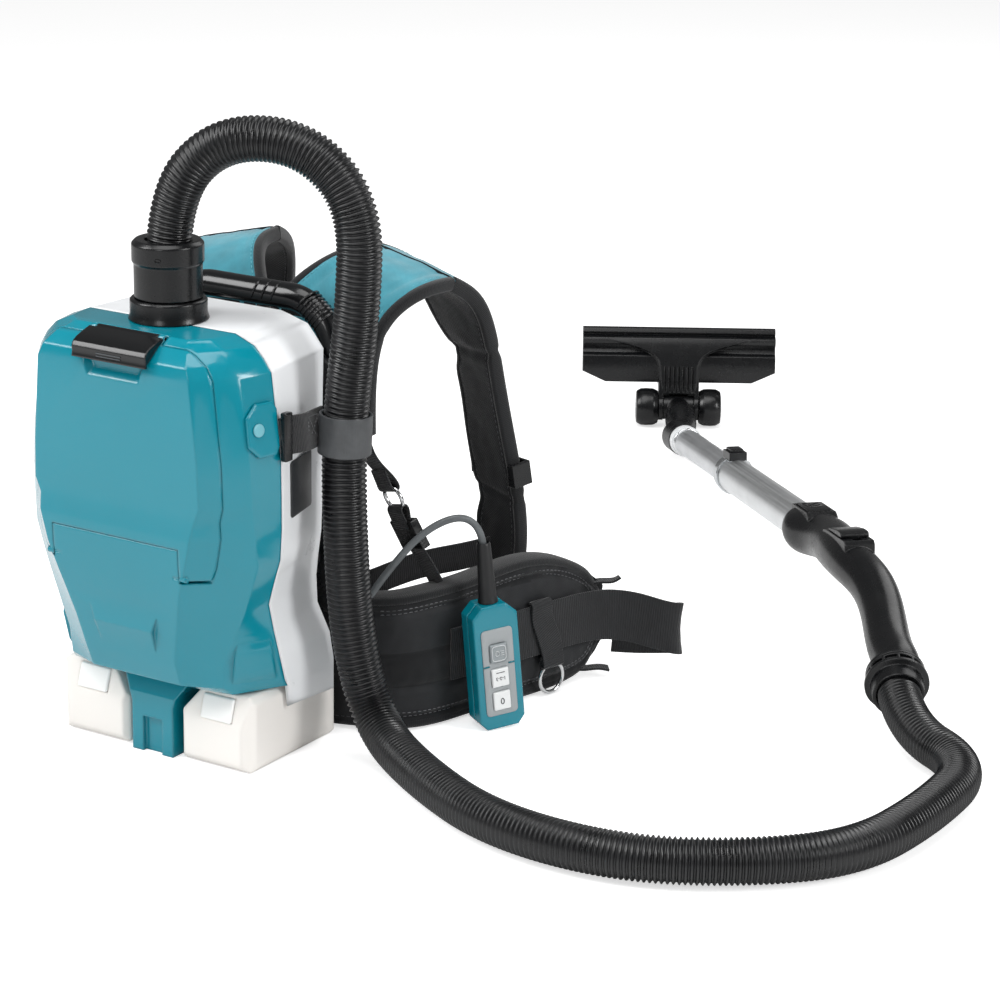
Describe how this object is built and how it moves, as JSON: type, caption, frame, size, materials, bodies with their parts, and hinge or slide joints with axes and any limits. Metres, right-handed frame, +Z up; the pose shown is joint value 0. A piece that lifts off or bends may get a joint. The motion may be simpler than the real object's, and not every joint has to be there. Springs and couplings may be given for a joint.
{
  "type": "backpack vacuum cleaner",
  "caption": "Upright shell with a front lid, slide-in battery packs and a padded carrying harness; a ribbed hose leads to a telescopic wand and a floor nozzle.",
  "frame": {"origin": "centre of the standing face of the foot between the battery packs", "axes": "+X to the right of someone who faces the lid, +Y from the lid towards the harness, +Z up"},
  "size_m": [0.8731, 1.2308, 0.5206],
  "materials": {
    "teal_shell": "gloss",
    "white_shell": "gloss",
    "black_shell": "satin",
    "pack_shell": "matt",
    "pack_button": "matt",
    "key_white": "satin",
    "teal_fabric": "woven",
    "black_fabric": "woven, padded",
    "webbing": "woven webbing",
    "hose": "satin",
    "soft_rubber": "matt",
    "tube_metal": "satin",
    "bright_metal": "polished",
    "plain_steel": "plain",
    "bag_fleece": "felt",
    "motor_plastic": "matt",
    "stator_iron": "plain",
    "board": "satin",
    "contacts": "plain"
  },
  "bodies": {
    "unit": {"back_frame": "black_shell", "back_pad": "black_fabric", "battery_terminals": "contacts", "belt_webbing": "webbing", "bent_handle": "black_shell", "cable_boot": "soft_rubber", "carry_handle": "soft_rubber", "centre_leg": "teal_shell", "control_board": "board", "dust_bag": "bag_fleece", "filter_cartridge": "bag_fleece", "front_housing": "teal_shell", "hose_strap": "webbing", "housing_screws": "plain_steel", "inlet_collar": "black_shell", "left_belt_wing": "black_fabric", "left_shoulder_strap": "black_fabric", "lid_seal": "soft_rubber", "lower_webbing": "webbing", "lumbar_pad": "black_fabric", "motor_bearings": "plain_steel", "motor_housing": "motor_plastic", "motor_stator": "stator_iron", "outer_tube": "tube_metal", "rear_housing": "white_shell", "remote_back": "black_shell", "remote_cable": "hose", "remote_front": "teal_shell", "right_belt_wing": "black_fabric", "right_shoulder_strap": "black_fabric", "ring_hanger": "webbing", "shoulder_yoke": "teal_fabric", "stabilizer_rings": "bright_metal", "strap_bracket": "black_shell", "strap_buckles": "black_shell", "suction_hose": "hose", "tube_collar": "black_shell"},
    "cuff": {"hose_cuff": "black_shell"},
    "lid": {"lid": "teal_shell"},
    "latch": {"lid_latch": "black_shell"},
    "rotor": {"motor_shaft": "plain_steel", "fan_impeller": "motor_plastic"},
    "left_pack": {"left_battery": "pack_shell"},
    "right_pack": {"right_battery": "pack_shell"},
    "left_pack_key": {"left_battery_button": "pack_button"},
    "right_pack_key": {"right_battery_button": "pack_button"},
    "light_key": {"light_button": "key_white"},
    "speed_key": {"speed_button": "key_white"},
    "stop_key": {"stop_button": "key_white"},
    "release_key": {"wand_release_button": "black_shell"},
    "relief": {"relief_slider": "black_shell"},
    "lock_key": {"tube_lock": "black_shell"},
    "inner_wand": {"inner_tube": "tube_metal"},
    "elbow": {"nozzle_elbow": "black_shell"},
    "nozzle": {"nozzle_head": "black_shell", "roller_axle": "plain_steel"},
    "left_wheel": {"left_roller": "soft_rubber"},
    "right_wheel": {"right_roller": "soft_rubber"},
    "hose_end": {"handle_cuff": "black_shell"},
    "ring": {"hanging_ring": "bright_metal"}
  },
  "joints": [
    {"name": "cuff_swivel", "type": "hinge", "parent": "unit", "child": "cuff", "pos_m": [0, -0.001, 0.38], "axis": [0, 0, 1], "continuous": true},
    {"name": "lid_hinge", "type": "hinge", "parent": "unit", "child": "lid", "pos_m": [0, -0.0705, 0.1715], "axis": [1, 0, 0], "range_deg": [0, 90]},
    {"name": "latch_hinge", "type": "hinge", "parent": "lid", "child": "latch", "pos_m": [0, -0.0505, 0.3542], "axis": [-1, 0, 0], "range_deg": [0, 40]},
    {"name": "fan_spin", "type": "hinge", "parent": "unit", "child": "rotor", "pos_m": [0, 0.005, 0.125], "axis": [0, 0, 1], "continuous": true},
    {"name": "left_pack_slide", "type": "slide", "parent": "unit", "child": "left_pack", "axis": [0, -1, 0], "range_m": [0, 0.12]},
    {"name": "right_pack_slide", "type": "slide", "parent": "unit", "child": "right_pack", "axis": [0, -1, 0], "range_m": [0, 0.12]},
    {"name": "left_pack_release", "type": "slide", "parent": "left_pack", "child": "left_pack_key", "axis": [0, 1, 0], "range_m": [0, 0.003], "stiffness_N_per_m": 400, "springref_m": -0.002},
    {"name": "right_pack_release", "type": "slide", "parent": "right_pack", "child": "right_pack_key", "axis": [0, 1, 0], "range_m": [0, 0.003], "stiffness_N_per_m": 400, "springref_m": -0.002},
    {"name": "light_press", "type": "slide", "parent": "unit", "child": "light_key", "axis": [-0.8387, 0.5446, 0], "range_m": [0, 0.001], "stiffness_N_per_m": 400, "springref_m": -0.002},
    {"name": "speed_press", "type": "slide", "parent": "unit", "child": "speed_key", "axis": [-0.8387, 0.5446, 0], "range_m": [0, 0.001], "stiffness_N_per_m": 400, "springref_m": -0.002},
    {"name": "stop_press", "type": "slide", "parent": "unit", "child": "stop_key", "axis": [-0.8387, 0.5446, 0], "range_m": [0, 0.001], "stiffness_N_per_m": 400, "springref_m": -0.002},
    {"name": "wand_release_press", "type": "slide", "parent": "unit", "child": "release_key", "axis": [0.0715, -0.0746, -0.9946], "range_m": [0, 0.0015], "stiffness_N_per_m": 400, "springref_m": -0.002},
    {"name": "relief_slide", "type": "slide", "parent": "unit", "child": "relief", "axis": [0.6879, -0.7184, 0.1033], "range_m": [0, 0.008]},
    {"name": "tube_lock_press", "type": "slide", "parent": "unit", "child": "lock_key", "axis": [0.0715, -0.0746, -0.9946], "range_m": [0, 0.0025], "stiffness_N_per_m": 400, "springref_m": -0.002},
    {"name": "tube_slide", "type": "slide", "parent": "unit", "child": "inner_wand", "axis": [-0.6879, 0.7184, -0.1033], "range_m": [-0.12, 0.1]},
    {"name": "elbow_swivel", "type": "hinge", "parent": "inner_wand", "child": "elbow", "pos_m": [-0.034, 0.915, 0.03], "axis": [0.6879, -0.7184, 0.1033], "range_deg": [-90, 90]},
    {"name": "nozzle_tilt", "type": "hinge", "parent": "elbow", "child": "nozzle", "pos_m": [-0.132, 1.064, 0.0208], "axis": [0.8457, 0.5336, 0], "range_deg": [-75, 15]},
    {"name": "left_roller_spin", "type": "hinge", "parent": "nozzle", "child": "left_wheel", "pos_m": [-0.132, 1.064, 0.0208], "axis": [0.8457, 0.5336, 0], "continuous": true},
    {"name": "right_roller_spin", "type": "hinge", "parent": "nozzle", "child": "right_wheel", "pos_m": [-0.132, 1.064, 0.0208], "axis": [0.8457, 0.5336, 0], "continuous": true},
    {"name": "hose_end_swivel", "type": "hinge", "parent": "unit", "child": "hose_end", "pos_m": [0.46676, 0.37049, 0.0428], "axis": [0.51, -0.8122, -0.2833], "continuous": true},
    {"name": "ring_swing", "type": "hinge", "parent": "unit", "child": "ring", "pos_m": [0.1948, 0.2663, 0.0287], "axis": [0.27, 0.9629, 0], "range_deg": [-80, 2]}
  ]
}
